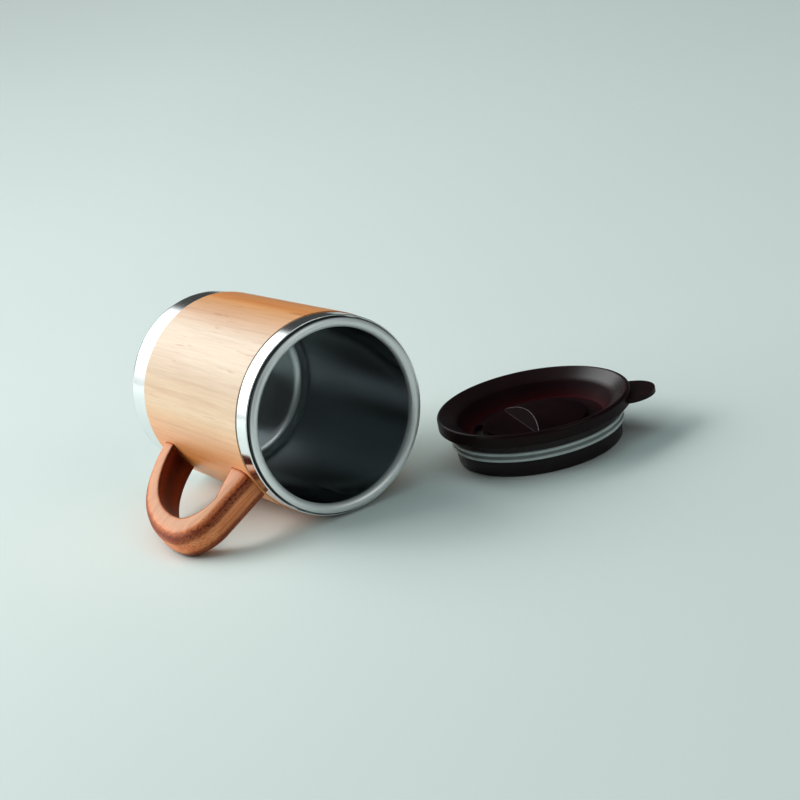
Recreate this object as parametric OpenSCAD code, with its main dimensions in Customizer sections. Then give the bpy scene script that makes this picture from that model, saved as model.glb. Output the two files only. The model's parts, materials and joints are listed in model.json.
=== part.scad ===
// Bamboo-sleeved steel mug lying on its side, with its press-in lid off beside it.
// Millimetres, +Z up, the floor is Z = 0.
// The origin is the floor point under the middle of the whole arrangement.
// The mug and the lid are each drawn upright about their own axis, then put in place.

/* [Sleeve] */
// Height of the sleeve's lower end above the mug's foot
sleeve_bottom = 15; // [14:0.1:18]
// Length of the bamboo sleeve
sleeve_len = 80.5; // [76:0.5:95]
// Outer radius of the sleeve at the mouth end
sleeve_r_rim = 41; // [39:0.1:43]
// How much smaller the sleeve's radius is at its lower end
sleeve_taper = 2; // [1:0.1:2.4]
// Thickness of the bamboo
sleeve_wall = 2.4; // [2.2:0.1:2.8]

/* [Steel] */
// Sheet thickness of the pressed steel pieces
sheet = 0.5; // [0.4:0.05:0.6]
// Radial clearance where one piece slips into another
slip = 0.1; // [0.05:0.01:0.15]
// How far the bright band at the mouth lies below the sleeve's surface
neck_step = 0.3; // [0.2:0.1:0.6]
// Height of the bright band above the sleeve
neck_h = 7.9; // [7:0.1:9]
// Rounding of the band's upper edge
neck_round = 0.3; // [0.2:0.05:0.35]
// Radius of the rolled lip
lip_round = 2.05; // [1.9:0.05:2.2]
// How deep the rolled lip stands in the band
lip_sink = 1.9; // [1.6:0.1:2.1]
// Width of the crease between the band and the rolled lip
crease = 0.35; // [0.2:0.05:0.5]
// Thickness of the whole wall at the cup's floor, from the sleeve's outside to the cup's inside
wall_w = 4.8; // [4.6:0.1:7]
// Height of the cup's inner floor above the mug's foot
cup_floor_z = 20.4; // [17:0.1:26]
// Fillet between the cup's wall and its floor
cup_fillet = 4.5; // [3:0.5:8]
// How far the bright foot cup lies below the sleeve's surface
foot_step = 1.2; // [0.6:0.1:1.4]
// Rounding of the foot cup's lower edge
foot_round = 3; // [2:0.1:3.4]
// Depth of the hollow under the foot cup
foot_hollow = 1.2; // [0.8:0.1:1.6]
// Width of the ring that the mug stands on
foot_ring = 4.5; // [3.5:0.5:8]

/* [Handle] */
// How far the handle stands out from the sleeve's mouth end
handle_reach = 37.8; // [34:0.2:42]
// Width of the handle across its flat sides
handle_w = 14.4; // [13:0.2:17]
// Depth of the rounding along the handle's outer edges
edge_deep = 6; // [4:0.2:7]
// Width of that rounding across the handle's back
edge_wide = 4.6; // [3:0.2:5.4]
// Distance of the handle's mouth side from the sleeve's mouth end
handle_inset = 0.2; // [0:0.1:3]
// Outer radius of the tight bend near the mouth
bend_r = 16.5; // [15:0.5:18]
// Outer radius of the long back of the handle
back_r = 63; // [60:0.5:66]
// Inner radius of the bend
gap_bend_r = 13.5; // [12:0.5:14]
// How much smaller the inner radius of the back is
back_inset = 15; // [13:0.5:17]
// Thickness of the handle at its tip
tip_t = 9.6; // [9:0.2:11]
// Thickness of the handle's mouth-side leg
leg_t = 6.2; // [5.6:0.2:7.2]
// Extra width of the mouth-side leg at its root
root_flare = 7; // [4:0.5:8]

/* [Handle screws] */
// Diameter of the screw shank
screw_d = 3; // [2.6:0.1:3.2]
// Diameter of the countersunk screw head
screw_head_d = 5.6; // [5:0.1:6]
// Length of each screw under the sleeve's bore
screw_len = 9.5; // [8:0.5:10]
// Distance of the upper screw from the sleeve's mouth end
screw_high = 5.5; // [5:0.5:7]
// Depth of the screw heads below the sleeve's bore
head_sink = 0.15; // [0.1:0.05:0.3]

/* [Lid] */
// Distance of the lid's axis beyond the sleeve's mouth end, along the mug
lid_ahead = 19.6; // [0:0.2:60]
// Distance of the lid's axis from the sleeve's side
lid_aside = 44.6; // [43:0.2:80]
// Direction of the thumb tab, seen from above
tab_turn = 56; // [0:1:90]
// Height of the lid from its lower edge to its crest
lid_h = 20.2; // [19.8:0.1:21]
// How far the lid's flange stands out past its neck
flange_out = 4.9; // [4.5:0.1:5.5]
// Rounding of the flange's crest
crest_round = 1.3; // [1.1:0.1:1.6]
// Height of the flange's outer edge
flange_t = 5.3; // [5:0.1:5.6]
// Width of the sloped ring from the flange's edge to the shoulder of the dish
slope_w = 6.7; // [6.3:0.1:7.1]
// Drop from the crest to the shoulder's centre
shoulder_drop = 5.3; // [5:0.1:5.7]
// Rounding of the shoulder
shoulder_round = 2; // [1.7:0.1:2.2]
// Width of the dish's wall, from the shoulder to the floor
dish_wall_w = 6; // [5.6:0.1:6.4]
// Depth of the dish's floor below the crest
dish_depth = 9.5; // [9.2:0.1:9.8]
// Thickness of the dish's floor
dish_t = 1.8; // [1.5:0.1:2]
// Clearance of the lid's neck in the mouth
lid_fit = 0.4; // [0.3:0.1:0.6]
// Step from the neck down to the skirt under the seal
skirt_step = 0.6; // [0.4:0.1:0.9]
// Taper of the skirt towards its lower edge
skirt_taper = 0.6; // [0.3:0.1:0.9]
// Wall thickness of the skirt
skirt_t = 2.4; // [2.2:0.1:2.6]
// Radius of the tab's rounded end
tab_r = 11.2; // [9:0.2:13]
// How far the tab reaches out of the flange
tab_out = 10; // [8:0.5:11]
// Thickness of the tab
tab_t = 2; // [1.8:0.1:2.4]
// Height of the tab above the flange's underside
tab_lift = 0.3; // [0.3:0.1:0.5]
// Rounding of the flange's lower edge
flange_edge = 0.6; // [0.4:0.1:0.8]
// Bevel round the skirt's lower edge
skirt_bevel = 0.8; // [0.5:0.1:1]

/* [Seal] */
// Distance of the seal's groove below the flange's underside
seal_drop = 3.9; // [3.6:0.1:4.3]
// Height of the groove
seal_h = 4.1; // [3.8:0.1:4.4]
// Depth of the groove into the skirt
seal_depth = 1.2; // [1:0.1:1.4]
// How far the seal's ribs stand out of the neck
seal_out = 0.65; // [0.5:0.05:0.8]
// Radius of each rounded rib
rib_r = 0.75; // [0.6:0.05:0.8]
// How far the seal lies below the neck between its ribs
seal_inset = 0.2; // [0.1:0.05:0.3]

/* [Closure] */
// Width of the dish's floor that shows round the turning dial
dial_border = 6.3; // [5.8:0.1:7.5]
// Thickness of the dial's plate
dial_t = 1.4; // [1.2:0.1:1.8]
// Height of the domed half above the plate
dome_h = 3.95; // [3.4:0.05:4.5]
// Distance of the thumb face's foot from the dial's axis
face_off = 6.7; // [5.5:0.1:8]
// Slope of the thumb face
face_slope = 45; // [40:1:60]
// Direction that the thumb face looks away from, seen from above
dial_turn = 76; // [60:1:90]
// Radius of the dial's stem
stem_r = 4; // [3.5:0.1:4.5]
// Running clearance of the stem in the lid
stem_fit = 0.08; // [0.05:0.01:0.1]
// Gap above and below the dish's floor
float_gap = 0.3; // [0.3:0.05:0.4]
// Width of the dish's floor that shows round the shutter, from below
shutter_border = 1; // [0.5:0.1:1.2]
// Thickness of the shutter
shutter_t = 1.6; // [1.4:0.1:1.8]
// Width of the sip slot
slot_w = 3.2; // [2.6:0.1:3.4]
// Half of the angle that the slot spans
slot_half = 14; // [8:1:16]
// Turn of the dial that brings the shutter's slot under the sip slot
open_turn = 60; // [45:1:90]
// Side of the stem's square end
drive = 5.4; // [4.6:0.1:5.6]
// Radius of the shutter screw's shank
pilot_r = 1.2; // [1:0.1:1.5]
// Depth of the screw's hole in the stem
pilot_h = 6; // [5:0.5:6.5]
// Height of the screw's pan head
pan_h = 1.6; // [1.2:0.1:2]
// Radius of the screw's pan head
pan_r = 4.8; // [4.2:0.1:5.2]

/* [Hidden] */
$fn = 96;
// Overlap of joined solids, and the length that a cut runs past a face
eps = 0.02;
past = 1;
sleeve_top = sleeve_bottom + sleeve_len;
sleeve_r_base = sleeve_r_rim - sleeve_taper;
// Radii of the steel pieces, taken from the sleeve
neck_r = sleeve_r_rim - neck_step;
mouth_r = neck_r - sheet - crease - 2 * lip_round;
cup_floor_r = sleeve_r_base - wall_w;
foot_r = sleeve_r_base - foot_step;
// Radii of the lid, taken from the mouth that it closes
lid_neck_r = mouth_r - lid_fit;
flange_r = lid_neck_r + flange_out;
shoulder_r = flange_r - slope_w;
dish_r = shoulder_r - dish_wall_w;
skirt_r = lid_neck_r - skirt_step;
skirt_r_low = skirt_r - skirt_taper;
dial_r = dish_r - dial_border;
shutter_r = dish_r - shutter_border;
slot_r = dish_r - dial_border / 2;
lid_x = sleeve_top + lid_ahead;
lid_y = sleeve_r_rim + lid_aside;
// The sleeve is a cone and lies on the floor, so the mug's axis rises by half of its angle
lean = atan(sleeve_taper / sleeve_len);
foot_centre_z = sleeve_r_base * cos(lean) - sleeve_bottom * sin(lean);
// Radius of the sleeve at a height above the foot
function sleeve_r(z) = sleeve_r_base + (z - sleeve_bottom) * tan(lean);
function bore_r(z) = sleeve_r(z) - sleeve_wall;
function shell_r(z) = bore_r(z) - slip;
neck_top = sleeve_top + neck_h;
lip_z = neck_top + lip_round - lip_sink;
lip_c = mouth_r + lip_round;
shell_floor = foot_hollow + sheet;
// Centres of the handle's bends: [out from the mug's axis, up the mug's axis]
handle_top = sleeve_r_rim + handle_reach;
bend_c = [handle_top - bend_r, sleeve_top - handle_inset - bend_r];
back_c = [handle_top - back_r, bend_c[1]];
gap_back_r = back_r - back_inset;
gap_bend_c = [handle_top - tip_t - gap_bend_r, bend_c[1] + bend_r - leg_t - gap_bend_r];
gap_back_c = [handle_top - tip_t - gap_back_r, gap_bend_c[1]];
// The lower screw stands in the middle of the handle's back leg, half way through the wood
function arc_low(c, r, out) = c[1] - sqrt(r * r - (out - c[0]) * (out - c[0]));
screw_mid = sleeve_r_base + (screw_len - sleeve_wall) / 2;
screw_low_z = (arc_low(back_c, back_r, screw_mid) + arc_low(gap_back_c, gap_back_r, screw_mid)) / 2;
// The handle's blank reaches this far under the sleeve's surface before it is cut to fit
sink = 6;
flare_deep = root_flare * (1 + sink / (gap_bend_c[0] - sleeve_r_rim));
blank_t = leg_t + flare_deep;
// Corners of the rounded edge in its own square, from the handle's side to its back
edge_steps = [[0, 1], [0.5, 0.86], [0.86, 0.5], [1, 0]];
handle_flat = handle_w / 2 - edge_wide;
function edge_at(r) = [for (k = edge_steps) [r - edge_deep + edge_deep * k[0], handle_flat + edge_wide * k[1]]];
// The handle is turned down about the mug's axis until its rounded edge meets the floor
rest_h = foot_centre_z + bend_c[1] * sin(lean);
function touch(p) = asin(rest_h / norm(p)) - atan2(p[1], p[0]);
handle_down = min([for (p = edge_at(handle_top)) touch(p)]);
// Sides of the box round the whole arrangement, measured from the mug's foot and axis
tab_c = flange_r + tab_out - tab_r;
box_x0 = foot_round * cos(lean) - foot_round - (foot_r - foot_round) * sin(lean);
box_x1 = lid_x + max(flange_r, tab_c * cos(tab_turn) + tab_r);
box_y0 = -max([for (p = edge_at(handle_top)) p[0] * cos(handle_down) + p[1] * sin(handle_down)]);
box_y1 = lid_y + max(flange_r, tab_c * sin(tab_turn) + tab_r);
mid_x = (box_x0 + box_x1) / 2;
mid_y = (box_y0 + box_y1) / 2;
// Heights in the lid
lid_under = lid_h - flange_t;
seal_z = lid_under - seal_drop - seal_h;
floor_top = lid_h - dish_depth;
floor_low = floor_top - dish_t;
dial_z = floor_top + float_gap;
dome_r = (dial_r * dial_r + dome_h * dome_h) / (2 * dome_h);
shutter_top = floor_low - float_gap;
groove_r = skirt_r - seal_depth;
cap_z = shutter_top - shutter_t;

// Placement of the mug: its axis along +X, rising by the sleeve's half angle
module lay_mug() {
  translate([-mid_x, -mid_y, foot_centre_z])
    rotate([0, 90 - lean, 0])
      children();
}

// Placement of the handle: drawn along +X of the mug's own frame
module turn_handle() {
  rotate([0, 0, handle_down - 90])
    children();
}

// Placement of the lid on the floor
module set_lid() {
  translate([lid_x - mid_x, lid_y - mid_y, 0])
    children();
}

// Outline round two circles, as two discs and the quad between their tangents
module capsule(a, ra, b, rb) {
  d = b - a;
  turn = atan2(d[1], d[0]);
  open = acos((ra - rb) / norm(d));
  n1 = [cos(turn + open), sin(turn + open)];
  n2 = [cos(turn - open), sin(turn - open)];
  translate(a) circle(ra);
  translate(b) circle(rb);
  polygon([a + ra * n1, a + ra * n2, b + rb * n2, b + rb * n1]);
}

// Half section of a cup's inside: tapered wall, flat floor and a fillet between them
module cup_section(r_top, z_top, r_low, z_low, fillet) {
  slope = atan((r_top - r_low) / (z_top - z_low));
  c = [r_low + fillet * tan(slope) - fillet / cos(slope), z_low + fillet];
  t = c + fillet * [cos(slope), -sin(slope)];
  polygon([[0, z_low], [c[0], z_low], c, t, [r_top, z_top], [0, z_top]]);
  translate(c) circle(fillet);
}

// Inner cup with its rolled lip
module inner_cup() {
  wall_top = lip_z;
  color("Silver") lay_mug() {
    rotate_extrude() difference() {
      union() {
        intersection() {
          cup_section(mouth_r + sheet, wall_top, cup_floor_r + sheet, cup_floor_z - sheet,
            cup_fillet + sheet);
          square([neck_r, lip_z]);
        }
        translate([lip_c, lip_z]) circle(lip_round);
      }
      cup_section(mouth_r, wall_top + eps, cup_floor_r, cup_floor_z, cup_fillet);
      translate([0, wall_top]) square([mouth_r, lip_round * 2]);
      translate([lip_c, lip_z]) circle(lip_round - sheet);
    }
  }
}

// Outer steel shell: the wall behind the sleeve and the bright band at the mouth
module outer_shell() {
  wall_h = sleeve_top - shell_floor;
  color("Gainsboro") lay_mug() {
    difference() {
      union() {
        translate([0, 0, shell_floor])
          cylinder(h = wall_h, r1 = shell_r(shell_floor), r2 = shell_r(sleeve_top));
        rotate_extrude() {
          translate([0, sleeve_top]) square([neck_r, neck_h - neck_round]);
          translate([0, sleeve_top]) square([neck_r - neck_round, neck_h]);
          translate([neck_r - neck_round, neck_top - neck_round]) circle(neck_round);
        }
      }
      translate([0, 0, shell_floor + sheet])
        cylinder(h = wall_h, r1 = shell_r(shell_floor) - sheet, r2 = shell_r(sleeve_top) - sheet);
      translate([0, 0, sleeve_top + sheet]) cylinder(h = neck_h, r = neck_r - sheet);
    }
  }
}

// Bright foot cup: rounded side wall, standing ring and a raised middle, with a lip under the sleeve
module foot_cup() {
  top = sleeve_bottom;
  hole = shell_r(sleeve_bottom) + slip;
  ring_out = foot_r - foot_round;
  ring_in = ring_out - foot_ring;
  wall_in = ring_in + sheet;
  color("Gainsboro") lay_mug() {
    rotate_extrude() difference() {
      union() {
        translate([0, foot_round]) square([foot_r, top - foot_round]);
        square([ring_out, top]);
        translate([ring_out, foot_round]) circle(foot_round);
      }
      translate([wall_in, foot_round]) square([foot_r - sheet - wall_in, top - foot_round - sheet]);
      translate([wall_in, sheet]) square([ring_out - wall_in, top - 2 * sheet]);
      translate([ring_out, foot_round]) circle(foot_round - sheet);
      translate([0, foot_hollow + sheet]) square([hole, top]);
      translate([0, -past]) square([ring_in, foot_hollow + past]);
    }
  }
}

// Countersunk screw along +X of the handle's frame, its head flush in the bore
module screw_at(z, grow) {
  head_h = (screw_head_d - screw_d) / 2;
  start = bore_r(z) + head_sink;
  translate([start, 0, z]) rotate([0, 90, 0]) {
    cylinder(h = head_h + grow, d1 = screw_head_d + 2 * grow, d2 = screw_d);
    cylinder(h = screw_len + grow, d = screw_d + 2 * grow);
    if (grow > 0) translate([0, 0, -past]) cylinder(h = past + eps, d = screw_head_d + 2 * grow);
  }
}

// Turned bamboo sleeve with the two countersunk screw holes
module bamboo_sleeve() {
  color("BurlyWood") lay_mug() {
    difference() {
      translate([0, 0, sleeve_bottom])
        cylinder(h = sleeve_len, r1 = sleeve_r_base, r2 = sleeve_r_rim);
      translate([0, 0, sleeve_bottom - past])
        cylinder(h = sleeve_len + 2 * past, r1 = bore_r(sleeve_bottom - past),
          r2 = bore_r(sleeve_top + past));
      turn_handle() {
        screw_at(screw_low_z, slip / 2);
        screw_at(sleeve_top - screw_high, slip / 2);
      }
    }
  }
}

// Cross-section of the handle's outer side at a radius, with its two rounded edges
module edge_section(r, t) {
  edge = edge_at(r);
  other = [for (k = [3:-1:0]) [edge[k][0], -edge[k][1]]];
  polygon(concat([[r - t, handle_w / 2]], edge, other, [[r - t, -handle_w / 2]]));
}

// Part of a ring in the handle's plane, between two angles from outward towards upward
module ring_part(c, from, to) {
  translate([c[0], 0, c[1]]) rotate([90, 0, 0]) rotate([0, 0, from])
    rotate_extrude(angle = to - from) children();
}

// Slab of a 2D outline drawn in [out, up], centred on the handle's plane
module slab(w) {
  rotate([90, 0, 0]) linear_extrude(height = w, center = true) children();
}

// Outline of the finger gap, drawn in [out, up]
module gap_outline() {
  mid = gap_bend_c[1];
  side = mid + gap_bend_r;
  deep = sleeve_r_rim - sink;
  intersection() {
    translate(gap_back_c) circle(gap_back_r);
    translate([deep, mid - gap_back_r]) square([gap_back_r + gap_back_c[0] - deep + past, gap_back_r]);
  }
  intersection() {
    translate(gap_bend_c) circle(gap_bend_r);
    translate([gap_bend_c[0], mid]) square(gap_bend_r + past);
  }
  polygon([[deep, mid], [gap_bend_c[0], mid], [gap_bend_c[0], side], [deep, side - flare_deep]]);
}

// Wooden handle: long back, tight bend and short leg round the finger gap
module handle() {
  low = min(sleeve_bottom, back_c[1] - back_r) - past;
  color("Sienna") lay_mug() turn_handle() {
    difference() {
      union() {
        ring_part(back_c, -90, 0) edge_section(back_r, back_r - past);
        ring_part(bend_c, 0, 90) edge_section(bend_r, bend_r - past);
        translate([bend_c[0], 0, bend_c[1]]) rotate([0, -90, 0])
          linear_extrude(height = bend_c[0] - sleeve_r_rim + sink) edge_section(bend_r, blank_t);
      }
      slab(handle_w + 2 * past) gap_outline();
      translate([0, 0, low])
        cylinder(h = sleeve_top + past - low, r1 = sleeve_r(low), r2 = sleeve_r(sleeve_top + past));
      screw_at(screw_low_z, slip / 2);
      screw_at(sleeve_top - screw_high, slip / 2);
    }
  }
}

// Two screws driven from inside the sleeve into the handle's ends
module handle_screws() {
  color("DimGray") lay_mug() turn_handle() {
    screw_at(screw_low_z, 0);
    screw_at(sleeve_top - screw_high, 0);
  }
}

// Curved slot through the dish's floor or the shutter, at a turn about the lid's axis
module sip_slot(turn, z, h, grow) {
  rotate([0, 0, turn]) translate([0, 0, z]) {
    rotate([0, 0, -slot_half]) rotate_extrude(angle = 2 * slot_half)
      translate([slot_r - slot_w / 2 - grow, 0]) square([slot_w + 2 * grow, h]);
    for (s = [-1, 1])
      rotate([0, 0, s * slot_half]) translate([slot_r, 0, 0]) cylinder(h = h, r = slot_w / 2 + grow);
  }
}

// Half section of the lid: crest, shoulder, dish, flange edge, neck, seal groove and skirt
module lid_section() {
  crest = [flange_r - crest_round, lid_h - crest_round];
  shoulder = [shoulder_r, lid_h - shoulder_drop];
  foot = [dish_r + dish_t / 2, floor_top - dish_t / 2];
  skirt_in = skirt_r_low - skirt_t;
  edge_h = flange_t - crest_round;
  edge_in = flange_r - flange_edge;
  fall = (shoulder[1] - foot[1]) / (shoulder[0] - foot[0]);
  capsule(crest, crest_round, shoulder, shoulder_round);
  capsule(shoulder, shoulder_round, foot, dish_t / 2);
  translate([0, floor_low]) square([foot[0], dish_t]);
  translate([crest[0], lid_under + flange_edge]) square([crest_round, edge_h - flange_edge]);
  translate([edge_in, lid_under + flange_edge]) circle(flange_edge);
  difference() {
    union() {
      polygon([[skirt_in, seal_z], [lid_neck_r, seal_z], [lid_neck_r, lid_under], [edge_in, lid_under],
        crest, shoulder, [skirt_in, shoulder[1] - (shoulder[0] - skirt_in) * fall]]);
      polygon([[skirt_in, 0], [skirt_r_low - skirt_bevel, 0], [skirt_r_low, skirt_bevel],
        [skirt_r, seal_z + eps], [skirt_in, seal_z + eps]]);
    }
    translate([groove_r, seal_z]) square([lid_neck_r - groove_r + past, seal_h]);
  }
}

// Thumb tab: rounded tongue that grows out of the flange's edge
module tab() {
  inside = flange_r - crest_round;
  rotate([0, 0, tab_turn]) translate([0, 0, lid_under + tab_lift]) difference() {
    union() {
      translate([tab_c, 0, 0]) cylinder(h = tab_t, r = tab_r);
      translate([inside - tab_r, -tab_r, 0]) cube([tab_c - inside + tab_r, 2 * tab_r, tab_t]);
    }
    translate([0, 0, -past]) cylinder(h = tab_t + 2 * past, r = inside);
  }
}

// Lid: flange, dish, neck, skirt and thumb tab in one moulding
module lid_body() {
  color("SaddleBrown") set_lid() difference() {
    union() {
      rotate_extrude() lid_section();
      tab();
    }
    translate([0, 0, floor_low - past]) cylinder(h = dish_t + 2 * past, r = stem_r + stem_fit);
    sip_slot(tab_turn + 180, floor_low - past, dish_t + 2 * past, 0);
  }
}

// Silicone seal ring with two rounded ribs
module seal_ring() {
  low = seal_z + slip / 2;
  high = seal_z + seal_h - slip / 2;
  body_r = lid_neck_r - seal_inset;
  color("LightGray") set_lid() rotate_extrude() {
    translate([groove_r + slip / 2, low]) square([body_r - groove_r - slip / 2, high - low]);
    translate([lid_neck_r + seal_out - rib_r, low + rib_r]) circle(rib_r);
    translate([lid_neck_r + seal_out - rib_r, high - rib_r]) circle(rib_r);
  }
}

// Turning dial: round plate, half dome with a sloped thumb face, round stem and square drive end
module dial() {
  plate_top = dial_z + dial_t;
  half = 3 * dial_r;
  color("SaddleBrown") set_lid() rotate([0, 0, dial_turn - 90]) {
    difference() {
      union() {
        translate([0, 0, dial_z]) cylinder(h = dial_t, r = dial_r);
        intersection() {
          translate([0, 0, plate_top + dome_h - dome_r]) sphere(dome_r);
          translate([0, 0, plate_top - eps]) cylinder(h = dome_h + past, r = dial_r);
          translate([0, -face_off, plate_top]) rotate([face_slope - 90, 0, 0])
            translate([-dial_r - past, 0, -half]) cube([2 * (dial_r + past), half, 2 * half]);
        }
        translate([0, 0, shutter_top]) cylinder(h = dial_z - shutter_top + eps, r = stem_r);
        translate([-drive / 2, -drive / 2, cap_z]) cube([drive, drive, shutter_t + eps]);
      }
      translate([0, 0, cap_z - past]) cylinder(h = pilot_h + past, r = pilot_r + stem_fit);
    }
  }
}

// Shutter under the dish, turned by the stem's square end
module shutter() {
  hole = drive + 2 * stem_fit;
  color("DarkSlateGray") set_lid() difference() {
    translate([0, 0, cap_z]) cylinder(h = shutter_t, r = shutter_r);
    rotate([0, 0, dial_turn - 90])
      translate([-hole / 2, -hole / 2, cap_z - past]) cube([hole, hole, shutter_t + 2 * past]);
    sip_slot(tab_turn + 180 - open_turn, cap_z - past, shutter_t + 2 * past, slip);
  }
}

// Pan-head screw that holds the shutter on the stem
module shutter_screw() {
  color("Silver") set_lid() {
    translate([0, 0, cap_z - pan_h]) cylinder(h = pan_h, r = pan_r);
    translate([0, 0, cap_z - eps]) cylinder(h = pilot_h - past / 2, r = pilot_r);
  }
}

inner_cup();
outer_shell();
foot_cup();
bamboo_sleeve();
handle();
handle_screws();
lid_body();
seal_ring();
dial();
shutter();
shutter_screw();
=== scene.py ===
"""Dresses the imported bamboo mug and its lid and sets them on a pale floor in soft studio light."""
import json
import math

import bpy
from mathutils import Matrix, Vector


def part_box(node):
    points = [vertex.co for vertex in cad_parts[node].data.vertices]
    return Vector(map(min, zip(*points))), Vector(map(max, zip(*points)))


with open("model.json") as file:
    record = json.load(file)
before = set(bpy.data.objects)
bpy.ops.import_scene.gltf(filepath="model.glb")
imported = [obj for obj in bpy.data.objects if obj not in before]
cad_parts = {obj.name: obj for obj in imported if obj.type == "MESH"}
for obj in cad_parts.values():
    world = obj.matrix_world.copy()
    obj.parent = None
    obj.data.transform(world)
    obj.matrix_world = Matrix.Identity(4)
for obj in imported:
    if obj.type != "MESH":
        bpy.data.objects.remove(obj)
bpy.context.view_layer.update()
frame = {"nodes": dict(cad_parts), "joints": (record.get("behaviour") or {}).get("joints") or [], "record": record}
nodes = frame["nodes"]
MM = 0.001


def half(name):
    """Half the size of a node's box, which is the radius of a round node."""
    low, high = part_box(name)
    return (high - low) / 2


def middle(name):
    """The middle of a node's box."""
    low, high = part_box(name)
    return (low + high) / 2


def inside(edge, *steps):
    """Radii, heights or distances that lie so many millimetres inside an edge."""
    return tuple(edge - step * MM for step in steps)


# The mug's axis runs from the middle of the foot, which is the record's one mount, to the mouth
foot = frame["record"]["mounts"][0]
MUG_AXIS = -Vector(foot["axis"])
MUG_FOOT = Vector((foot["pos_m"][0], middle("bamboo_sleeve").y, foot["pos_m"][2]))
ON_MUG = ((0, math.atan2(MUG_AXIS.z, MUG_AXIS.x), 0), MUG_FOOT)

# The lid's upright axis is that of its dial
dial_turn = next(joint for joint in frame["joints"] if joint["name"] == "dial_turn")
LID_AXIS = Vector((*dial_turn["pos_m"][:2], 0.0))
ON_LID = ((0, 0, 0), LID_AXIS)

# The handle points out and down from the mug's axis; its flat side is square to that
HANDLE_DROP = math.radians(27.3)
HANDLE_TURN = (-HANDLE_DROP, 0, 0)
HANDLE_OUT = Vector((0.0, -math.cos(HANDLE_DROP), -math.sin(HANDLE_DROP)))
HANDLE_SIDE = Vector((0.0, -math.sin(HANDLE_DROP), math.cos(HANDLE_DROP)))
# The middle of the finger gap, by its distances along and out from the mug's axis
GAP_ALONG, GAP_OUT = 68.75 * MM, 55.0 * MM
GAP_MIDDLE = MUG_FOOT + GAP_ALONG * MUG_AXIS + GAP_OUT * HANDLE_OUT
# Distances from the handle's middle plane between which the painted shade on the finger gap's wall gets lighter
GAP_SHADE_ACROSS = (1.5 * MM, 5.0 * MM)

# Directions from the mug's axis of the sleeve's painted light: palest on the lit upper left, and a lighter,
# stronger orange low on the left
PAINTED_LIT_SIDE = Vector((0.0, -0.82, 0.57))
PAINTED_BRIGHT_SIDE = Vector((0.0, -0.95, -0.30))

# Distances from the foot between which the cup's bottom becomes its wall, and its wall the lip
cup_along = [(v.co - MUG_FOOT).dot(MUG_AXIS) for v in nodes["inner_cup"].data.vertices]
BOTTOM_SPAN = (min(cup_along) + 2.6 * MM, min(cup_along) + 7.1 * MM)
LIP_SPAN = inside(max(cup_along), 4.1, 2.1)
# Radii between which the lip's outer side takes a painted shade, where it rolls into the crease
CREASE_SHADE_RADII = inside(half("inner_cup").y, 0.55, 0.25)
# Distances from the foot over which the outer steel loses its haze
HAZE_SPAN = (20.0 * MM, 90.0 * MM)

# Radii of the lid: the dish's corner with its painted red glow, the slope's inner border and the slope's outer
# border
FLANGE_R = half("lid_body").x
DISH_GLOW_RADII = inside(FLANGE_R, 13.45, 9.45)
DISH_EDGE = inside(FLANGE_R, 8.25, 6.25)
WALL_EDGE = inside(FLANGE_R, 1.65, 0.65)
# Radii of the seal between its ribs, which take a painted shade, and on their crests
RIB_RADII = inside(half("seal_ring").x, 0.65, 0.10)
# Heights at which the painted highlight on the edge of the dial's grip begins, and radii at which it ends
DIAL_EDGE_HEIGHTS = inside(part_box("dial")[1].z, 4.35, 2.75)
DIAL_EDGE_RADII = inside(half("dial").x, 2.25, 0.65)

# The floor reaches past every view, and darkens with a painted falloff of light in these directions over these
# distances
FLOOR_HALF = 40.0
TO_RIGHT, RIGHT_SPAN = Vector((0.55, 0.835, 0.0)), (-0.15, 0.45)
TO_FRONT, FRONT_SPAN = Vector((0.835, -0.55, 0.0)), (-0.15, 0.60)

# Where the room's two soft glows come from, and the light of the room without them
GLOW_LOW = Vector((-0.57, -0.73, 0.37)).normalized()
GLOW_HIGH = Vector((-0.81, -0.17, 0.56)).normalized()
ROOM_LEVEL = 0.06

# The photograph's camera, as fitted to the edges of the mug and the lid
CAMERA_PLACE = Vector((1021.558, -568.92, 420.9)) * MM
CAMERA_TARGET = Vector((33.76, -2.46, 40.0)) * MM
CAMERA_ROLL = math.radians(-11.265)
CAMERA_LENS, CAMERA_SENSOR = 135.0, 36.0
CAMERA_REACH = 150.0


class Nodes:
    """Adds nodes to a shader tree. An input is a constant or another node's output."""

    def __init__(self, tree):
        self.tree = tree

    def give(self, socket, value):
        """Links an output to a socket or sets a constant, which is three levels for a colour."""
        if isinstance(value, bpy.types.NodeSocket):
            self.tree.links.new(value, socket)
        else:
            socket.default_value = (*value, 1.0) if socket.type == "RGBA" else value

    def add(self, kind, inputs, **settings):
        """Adds a node with its settings and then its inputs, which go by name or number."""
        node = self.tree.nodes.new(kind)
        for name, value in settings.items():
            setattr(node, name, value)
        for key, value in inputs.items():
            self.give(node.inputs[key], value)
        return node

    def math(self, operation, a, b=0.0):
        return self.add("ShaderNodeMath", {0: a, 1: b}, operation=operation).outputs[0]

    def vector(self, operation, a, b=(0, 0, 0)):
        return self.add("ShaderNodeVectorMath", {0: a, 1: b}, operation=operation).outputs["Vector"]

    def dot(self, a, b):
        node = self.add("ShaderNodeVectorMath", {0: a, 1: b}, operation="DOT_PRODUCT")
        return node.outputs["Value"]

    def range(self, value, span=(0.0, 1.0), levels=(0.0, 1.0), ease="LINEAR"):
        """Maps a span of values to levels and holds the ends."""
        inputs = {"Value": value, "From Min": span[0], "From Max": span[1],
                  "To Min": levels[0], "To Max": levels[1]}
        return self.add("ShaderNodeMapRange", inputs, interpolation_type=ease).outputs[0]


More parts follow.
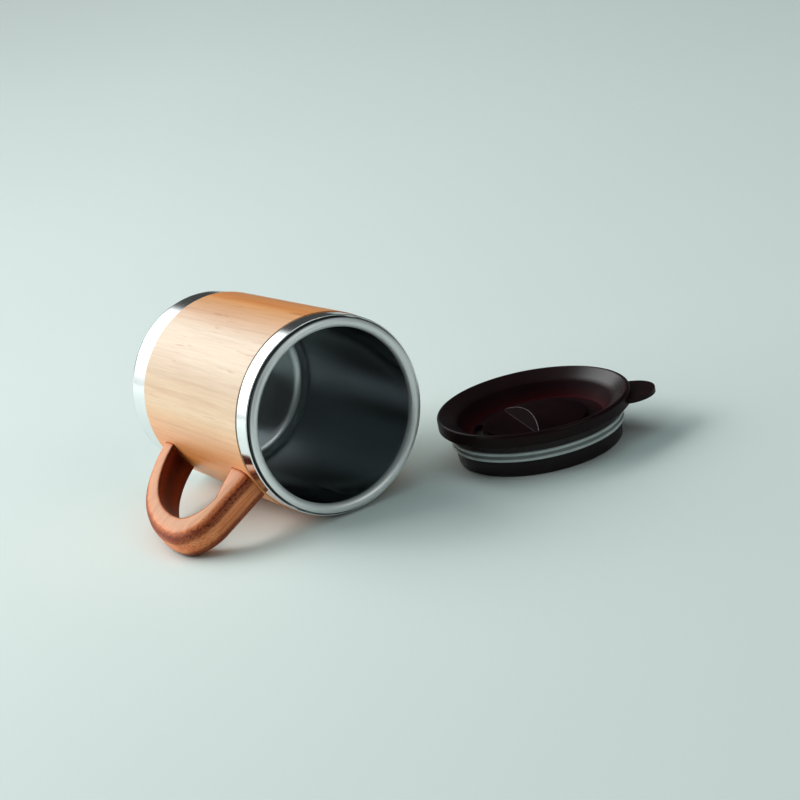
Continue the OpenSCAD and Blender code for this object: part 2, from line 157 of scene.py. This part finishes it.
class Finish(Nodes):
    """A procedural material: a Principled shader plus the nodes that vary it over the surface."""

    def __init__(self, name, **sockets):
        self.material = bpy.data.materials.new(name)
        self.material.use_nodes = True
        super().__init__(self.material.node_tree)
        self.shader = self.tree.nodes["Principled BSDF"]
        self.set(**sockets)

    def set(self, **sockets):
        """Fills the shader's sockets, with _ for a space in a name, and returns the material."""
        for name, value in sockets.items():
            self.give(self.shader.inputs[name.replace("_", " ")], value)
        return self.material

    def place(self, scale=(1, 1, 1), turn=(0, 0, 0), centre=(0, 0, 0)):
        """The piece's own coordinates in metres from a centre, turned and then scaled."""
        where = self.add("ShaderNodeTexCoord", {}).outputs["Object"]
        moved = self.vector("SUBTRACT", where, centre)
        turned = self.add("ShaderNodeMapping", {"Vector": moved, "Rotation": turn}).outputs[0]
        return self.vector("MULTIPLY", turned, scale)

    def round_place(self, turn, centre, axis):
        """Coordinates round an axis: distance along the axis, angle and radius."""
        where = self.place((1, 1, 1), turn, centre)
        x, y, z = self.add("ShaderNodeSeparateXYZ", {0: where}).outputs
        along, u, v = (x, y, z) if axis == "X" else (z, x, y)
        square = self.math("ADD", self.math("MULTIPLY", u, u), self.math("MULTIPLY", v, v))
        return along, self.math("ARCTAN2", u, v), self.math("SQRT", square)

    def noise(self, where, detail, rough=0.55, twist=0.0):
        inputs = {"Vector": where, "Scale": 1.0, "Detail": detail, "Roughness": rough,
                  "Distortion": twist}
        return self.add("ShaderNodeTexNoise", inputs).outputs["Fac"]

    def spun(self, around, scale, detail):
        """Fine lines spun round an axis; the scale is along it, in angle and in radius."""
        where = self.add("ShaderNodeCombineXYZ", dict(enumerate(around))).outputs[0]
        return self.noise(self.vector("MULTIPLY", where, scale), detail)

    def ramp(self, value, *stops):
        """Maps a value to colours or levels; each stop is (position, colour or level)."""
        node = self.add("ShaderNodeValToRGB", {"Fac": value})
        points = node.color_ramp.elements
        while len(points) < len(stops):
            points.new(1.0)
        for point, (position, colour) in zip(points, stops):
            point.position = position
            point.color = (*colour, 1.0) if isinstance(colour, tuple) else (*[colour] * 3, 1.0)
        return node.outputs["Color"]

    def mix(self, share, a, b, blend="MIX"):
        """Mixes colours; the result stays within 0 and 1."""
        node = self.add("ShaderNodeMix", {0: share, 6: a, 7: b}, data_type="RGBA",
                        blend_type=blend, clamp_result=True)
        return node.outputs[2]

    def tint(self, share, colour, by):
        return self.mix(share, colour, by, "MULTIPLY")

    def rounded(self, radius, samples):
        """The surface's direction with its sharp edges rounded by a radius."""
        return self.add("ShaderNodeBevel", {"Radius": radius}, samples=samples).outputs[0]

    def bump(self, height, strength, depth, edge=None):
        """A bump normal; edge is the radius that rounds sharp edges."""
        inputs = {"Height": height, "Strength": strength, "Distance": depth}
        if edge:
            inputs["Normal"] = self.rounded(edge, samples=6)
        return self.add("ShaderNodeBump", inputs).outputs[0]


def bamboo():
    """Lacquered bamboo: strips side by side, fine fibres along the sleeve, short brown flecks, and painted light
    that makes it pale on the lit upper left and deep orange where shaded.
    """
    f = Finish("bamboo", Coat_Weight=0.5, Coat_Roughness=0.38, Coat_IOR=1.5, Specular_IOR_Level=0.4)
    strips = f.noise(f.place((3, 60, 60), *ON_MUG), detail=2.0, rough=0.4)
    fibres = f.noise(f.place((9, 420, 420), *ON_MUG), detail=5.0, rough=0.62)
    hairs = f.noise(f.place((24, 1900, 1900), *ON_MUG), detail=3.0)
    flecks = f.noise(f.place((50, 620, 620), *ON_MUG), detail=2.0)
    # Painted light: the lit upper left takes the pale copy of the colour, the shaded rest the deep orange copy,
    # and the low left is lightened further
    outward = f.vector("NORMALIZE", f.place((0, 1, 1), *ON_MUG))
    pale = f.range(f.dot(outward, PAINTED_LIT_SIDE), span=(0.50, 0.90))
    painted_brightening = f.range(f.dot(outward, PAINTED_BRIGHT_SIDE), span=(0.68, 0.93))
    deep = f.ramp(strips, (0.32, (0.74, 0.25, 0.060)), (0.50, (0.84, 0.315, 0.080)),
                  (0.68, (0.88, 0.40, 0.13)))
    light = f.ramp(strips, (0.32, (0.59, 0.395, 0.255)), (0.50, (0.615, 0.445, 0.305)),
                   (0.68, (0.635, 0.475, 0.34)))
    colour = f.tint(painted_brightening, f.mix(pale, deep, light), (1.22, 1.18, 1.06))
    colour = f.tint(0.36, colour, f.ramp(fibres, (0.30, (0.66, 0.42, 0.26)), (0.55, 1.0)))
    colour = f.tint(0.50, colour, f.ramp(hairs, (0.30, (0.84, 0.76, 0.68)), (0.60, 1.0)))
    colour = f.tint(0.60, colour, f.ramp(flecks, (0.64, 1.0), (0.76, (0.58, 0.34, 0.20))))
    relief = f.mix(0.4, fibres, hairs)
    return f.set(Base_Color=colour, Roughness=f.range(fibres, levels=(0.40, 0.54)),
                 Normal=f.bump(relief, strength=0.2, depth=0.2 * MM, edge=0.3 * MM))


def handle_wood():
    """Oiled orange-brown wood: straight grain, speckled edges, painted shade in dark red inside the finger gap and
    painted sheen on the flat sides.
    """
    f = Finish("handle_wood", Coat_Weight=0.08, Coat_Roughness=0.38, Coat_IOR=1.5,
               Specular_IOR_Level=0.18)
    grain = f.noise(f.place((300, 30, 300), HANDLE_TURN), detail=4.0, twist=0.3)
    fine = f.noise(f.place((1700, 45, 1700), HANDLE_TURN), detail=3.0)
    pores = f.noise(f.place((1500, 1000, 1500), HANDLE_TURN), detail=2.5, rough=0.65)

    # Shares of the finger gap's wall, the rounded edges and the flat sides, by where a face looks
    facing = f.rounded(2.5 * MM, samples=8)
    inward = f.vector("NORMALIZE", f.place((-1, -1, -1), centre=GAP_MIDDLE))
    gap = f.range(f.dot(facing, inward), span=(0.15, 0.60))
    slant = f.math("ABSOLUTE", f.dot(facing, HANDLE_SIDE))
    edge = f.ramp(slant, (0.04, 0.0), (0.28, 0.75), (0.72, 1.0), (0.97, 0.0))
    side = f.range(slant, span=(0.90, 0.99))

    # The finger gap's wall gets a painted shade in dark red, darkest at the handle's middle plane
    across = f.math("ABSOLUTE", f.dot(f.place(centre=GAP_MIDDLE), HANDLE_SIDE))
    shade = f.mix(f.range(across, span=GAP_SHADE_ACROSS), (0.10, 0.030, 0.040), (0.24, 0.095, 0.075))
    colour = f.ramp(grain, (0.3, (0.80, 0.23, 0.080)), (0.5, (0.92, 0.31, 0.115)),
                    (0.7, (0.95, 0.38, 0.16)))
    colour = f.tint(0.5, colour, f.ramp(fine, (0.40, (0.50, 0.34, 0.26)), (0.57, 1.0)))
    dots = f.ramp(pores, (0.53, 1.0), (0.60, (0.14, 0.05, 0.03)))
    colour = f.tint(f.range(edge, levels=(0.10, 0.90)), colour, dots)
    colour = f.tint(edge, colour, (0.27, 0.105, 0.065))
    # Painted sheen: the flat sides are mixed towards a pale pinkish tan
    colour = f.mix(f.range(side, levels=(0.0, 0.65)), colour, (0.42, 0.275, 0.185))
    # Painted shade inside the finger gap
    colour = f.tint(gap, colour, shade)
    relief = f.mix(0.5, fine, pores)
    return f.set(Base_Color=colour, Roughness=f.range(fine, levels=(0.42, 0.58)),
                 Normal=f.bump(relief, strength=0.3, depth=0.2 * MM, edge=2.5 * MM))


def polished_steel():
    """Mirror-polished stainless steel with faint turning lines and a little haze."""
    f = Finish("polished_steel", Base_Color=(0.82, 0.84, 0.84), Metallic=1.0)
    around = f.round_place(*ON_MUG, axis="X")
    lines = f.spun(around, scale=(5000, 2, 2000), detail=2.0)
    haze = f.noise(f.place((30, 30, 30)), detail=3.0)
    dull = f.range(around[0], span=HAZE_SPAN, levels=(0.03, 0.0))
    return f.set(Roughness=f.math("ADD", dull, f.range(haze, levels=(0.10, 0.16))),
                 Normal=f.bump(lines, strength=0.015, depth=0.05 * MM, edge=0.2 * MM))


def satin_steel():
    """Satin stainless steel: spun lines round the cup, a brighter blasted lip, and painted shade that darkens the
    cup's inside wall.
    """
    f = Finish("satin_steel")
    around = f.round_place(*ON_MUG, axis="X")
    along, _, radius = around
    lines = f.spun(around, scale=(2500, 3, 2500), detail=3.0)
    haze = f.noise(f.place((25, 25, 25)), detail=1.0)
    lip = f.range(along, span=LIP_SPAN)
    # Painted shade: the cup's inside wall is dark, while its bottom keeps the steel's own tone
    bottom = f.range(along, span=BOTTOM_SPAN, levels=(1.0, 0.0))
    colour = f.mix(bottom, (0.18, 0.20, 0.21), (0.84, 0.89, 0.90))
    colour = f.mix(lip, colour, (0.92, 0.94, 0.94))
    # Painted shade in the crease where the lip rolls over
    colour = f.mix(f.range(radius, span=CREASE_SHADE_RADII), colour, (0.02, 0.024, 0.026))
    colour = f.tint(1.0, colour, f.ramp(f.mix(0.5, lines, haze), (0.3, 0.94), (0.7, 1.0)))
    uneven = f.range(f.mix(0.6, lines, haze), levels=(-0.03, 0.03))
    rough = f.math("ADD", f.range(lip, levels=(0.19, 0.43)), uneven)
    rough = f.math("ADD", rough, f.range(bottom, levels=(0.0, 0.13)))
    return f.set(Base_Color=colour, Roughness=rough, Metallic=f.range(lip, levels=(1.0, 0.6)),
                 Normal=f.bump(lines, strength=0.01, depth=0.05 * MM))


def lid_plastic(name, red, gloss):
    """Very dark brown moulded plastic with an orange-peel skin, a painted red glow in the dish's corner and a
    painted highlight on the edge of the dial's grip.
    """
    f = Finish(name, Specular_IOR_Level=gloss, Coat_Roughness=0.25, Coat_IOR=1.5,
               Subsurface_Weight=0.2, Subsurface_Radius=(1.0, 0.10, 0.06), Subsurface_Scale=3 * MM)
    cloud = f.noise(f.place((55, 55, 55)), detail=3.0)
    peel = f.noise(f.place((900, 900, 900)), detail=2.0)
    height, _, radius = f.round_place(*ON_LID, axis="Z")
    colour = f.ramp(cloud, (0.35, (0.0085 * red, 0.0032, 0.0040)),
                    (0.65, (0.0125 * red, 0.0042, 0.0050)))
    # A painted red glow in the dish's corner, as of light shining through the thin plastic
    corner = f.ramp(f.range(radius, span=DISH_GLOW_RADII),
                    (0.0, 0.0), (0.25, 1.0), (0.45, 0.5), (1.0, 0.0))
    colour = f.mix(corner, colour, (0.036 * red, 0.0036, 0.0052))

    # The sharp edge of the dial's grip gets a painted highlight
    sharp = f.dot(f.rounded(0.4 * MM, samples=8),
                  f.add("ShaderNodeNewGeometry", {}).outputs["Normal"])
    on_grip = f.math("MULTIPLY", f.range(height, span=DIAL_EDGE_HEIGHTS),
                     f.range(radius, span=DIAL_EDGE_RADII, levels=(1.0, 0.0)))
    painted_glint = f.math("MULTIPLY", f.range(sharp, span=(0.93, 0.985), levels=(1.0, 0.0)), on_grip)
    colour = f.mix(painted_glint, colour, (0.45, 0.42, 0.41))

    # Only the slope between the dish and the outer wall is smooth
    smooth = f.math("MULTIPLY", f.range(radius, span=DISH_EDGE, levels=(0.0, 0.5)),
                    f.range(radius, span=WALL_EDGE, levels=(1.0, 0.35)))
    return f.set(Base_Color=colour, Roughness=f.range(peel, levels=(0.42, 0.56)),
                 Coat_Weight=smooth,
                 Normal=f.bump(peel, strength=0.04, depth=0.1 * MM, edge=0.6 * MM))


def seal_silicone():
    """Translucent grey-green silicone: pale on the thick ribs, darker between them from painted shade and the dark
    lid showing through, with dust.
    """
    f = Finish("seal_silicone", Specular_IOR_Level=0.45, Transmission_Weight=0.1, IOR=1.41,
               Subsurface_Weight=0.4, Subsurface_Radius=(0.8, 1.0, 0.9), Subsurface_Scale=1 * MM)
    dust = f.noise(f.place((420, 420, 420)), detail=4.0)
    cloud = f.noise(f.place((90, 90, 90)), detail=2.0)
    radius = f.round_place(*ON_LID, axis="Z")[2]
    # Between the ribs the colour darkens: painted shade, and the dark lid showing through the thin silicone
    thick = f.range(radius, span=RIB_RADII, levels=(0.25, 1.0))
    pale = f.ramp(cloud, (0.3, (0.56, 0.64, 0.62)), (0.7, (0.68, 0.75, 0.73)))
    colour = f.mix(thick, (0.13, 0.155, 0.15), pale)
    return f.set(Base_Color=colour, Roughness=f.range(dust, levels=(0.30, 0.50)),
                 Normal=f.bump(dust, strength=0.08, depth=0.1 * MM, edge=0.2 * MM))


def matt_plastic():
    """Matt black-brown plastic with a spark-eroded grain."""
    f = Finish("shutter_plastic", Specular_IOR_Level=0.4)
    grain = f.noise(f.place((1400, 1400, 1400)), detail=3.0)
    colour = f.ramp(grain, (0.3, (0.012, 0.008, 0.008)), (0.7, (0.024, 0.016, 0.015)))
    return f.set(Base_Color=colour, Roughness=f.range(grain, levels=(0.50, 0.65)),
                 Normal=f.bump(grain, strength=0.2, depth=0.1 * MM, edge=0.3 * MM))


def screw_steel():
    """Plain zinc-grey screw steel with turning marks."""
    f = Finish("screw_steel", Metallic=1.0)
    marks = f.noise(f.place((2500, 2500, 300)), detail=2.0)
    colour = f.ramp(marks, (0.3, (0.45, 0.45, 0.46)), (0.7, (0.62, 0.62, 0.62)))
    return f.set(Base_Color=colour, Roughness=f.range(marks, levels=(0.25, 0.42)),
                 Normal=f.bump(marks, strength=0.1, depth=0.05 * MM, edge=0.2 * MM))


def dress():
    """Gives every CAD node its finish."""
    steel = polished_steel()
    screws = screw_steel()
    finishes = {
        "inner_cup": satin_steel(),
        "outer_shell": steel,
        "foot_cup": steel,
        "bamboo_sleeve": bamboo(),
        "handle": handle_wood(),
        "handle_screws": screws,
        "lid_body": lid_plastic("lid_plastic", red=1.0, gloss=0.02),
        "seal_ring": seal_silicone(),
        "dial": lid_plastic("dial_plastic", red=0.8, gloss=0.005),
        "shutter": matt_plastic(),
        "shutter_screw": screws,
    }
    for name, finish in finishes.items():
        slots = nodes[name].data.materials
        slots.clear()
        slots.append(finish)


def new_object(name, data):
    thing = bpy.data.objects.new(name, data)
    bpy.context.scene.collection.objects.link(thing)
    return thing


def face(thing, place, target, roll=0.0):
    """Stands a lamp or a camera at a place, looking at its target and rolled about that line."""
    turn = (Vector(target) - Vector(place)).to_track_quat("-Z", "Y").to_matrix().to_4x4()
    thing.matrix_world = Matrix.Translation(place) @ turn @ Matrix.Rotation(roll, 4, "Z")


def floor():
    """A pale grey-green sweep under the object, with a painted falloff of light to the right and to the front."""
    mesh = bpy.data.meshes.new("floor")
    corners = [(x * FLOOR_HALF, y * FLOOR_HALF, 0) for x, y in ((-1, -1), (1, -1), (1, 1), (-1, 1))]
    mesh.from_pydata(corners, [], [(0, 1, 2, 3)])
    ground = new_object("floor", mesh)
    f = Finish("floor", Roughness=0.55, Specular_IOR_Level=0.25)
    tone = f.noise(f.place((2, 2, 2)), detail=2.0)
    colour = f.ramp(tone, (0.3, (0.685, 0.745, 0.72)), (0.7, (0.705, 0.765, 0.74)))
    where = f.place()
    # Painted falloff of light: the floor darkens to the right and to the front
    fade = f.math("MULTIPLY", f.range(f.dot(where, TO_RIGHT), RIGHT_SPAN, levels=(1.0, 0.80)),
                  f.range(f.dot(where, TO_FRONT), FRONT_SPAN, levels=(1.0, 0.85)))
    mesh.materials.append(f.set(Base_Color=f.tint(1.0, colour, fade)))


def lamp(name, place, target, size, watts, colour, mirrored):
    """A rectangular soft lamp; one that isn't mirrored leaves no highlight."""
    data = bpy.data.lights.new(name, "AREA")
    data.shape = "RECTANGLE"
    data.size, data.size_y = size
    data.energy = watts
    data.color = colour
    thing = new_object(name, data)
    thing.visible_glossy = mirrored
    face(thing, place, target)


def lights():
    """A lamp on the left for the shadows, a cool fill from above and a weak one into the cup."""
    lamp("key", place=(-0.77, -0.80, 0.82), target=(0, 0, 0.03), size=(0.9, 0.75),
         watts=9.3, colour=(1.0, 0.985, 0.97), mirrored=False)
    lamp("fill", place=(0.1, 0.1, 2.5), target=(0, 0, 0), size=(2.4, 2.4),
         watts=18, colour=(0.74, 1.0, 1.0), mirrored=False)
    lamp("front", place=(1.15, 0.35, 0.95), target=(-0.03, -0.03, 0.04), size=(0.9, 0.9),
         watts=3.6, colour=(0.95, 1.0, 1.0), mirrored=True)


def glow(n, toward, fade, level):
    """A soft round patch of light in the room; fade is the cosines at its border and its core."""
    where = n.add("ShaderNodeTexCoord", {}).outputs["Generated"]
    return n.range(n.dot(where, toward), span=fade, levels=(0.0, level), ease="SMOOTHSTEP")


def room():
    """A dim room with two soft glows on the left, which are what the steel mirrors."""
    world = bpy.data.worlds.new("room")
    world.use_nodes = True
    n = Nodes(world.node_tree)
    low = glow(n, GLOW_LOW, fade=(0.80, 0.94), level=2.2)
    high = glow(n, GLOW_HIGH, fade=(0.90, 0.985), level=4.1)
    background = n.tree.nodes["Background"].inputs
    n.give(background["Color"], (0.96, 1.0, 1.0))
    n.give(background["Strength"], n.math("ADD", n.math("ADD", low, high), ROOM_LEVEL))
    bpy.context.scene.world = world


def camera():
    """The photograph's long lens, rolled a little."""
    data = bpy.data.cameras.new("camera")
    data.sensor_width = CAMERA_SENSOR
    data.lens = CAMERA_LENS
    data.clip_end = CAMERA_REACH
    eye = new_object("camera", data)
    face(eye, CAMERA_PLACE, CAMERA_TARGET, CAMERA_ROLL)
    bpy.context.scene.camera = eye


dress()
floor()
lights()
room()
camera()
bpy.context.scene.view_settings.view_transform = "Standard"
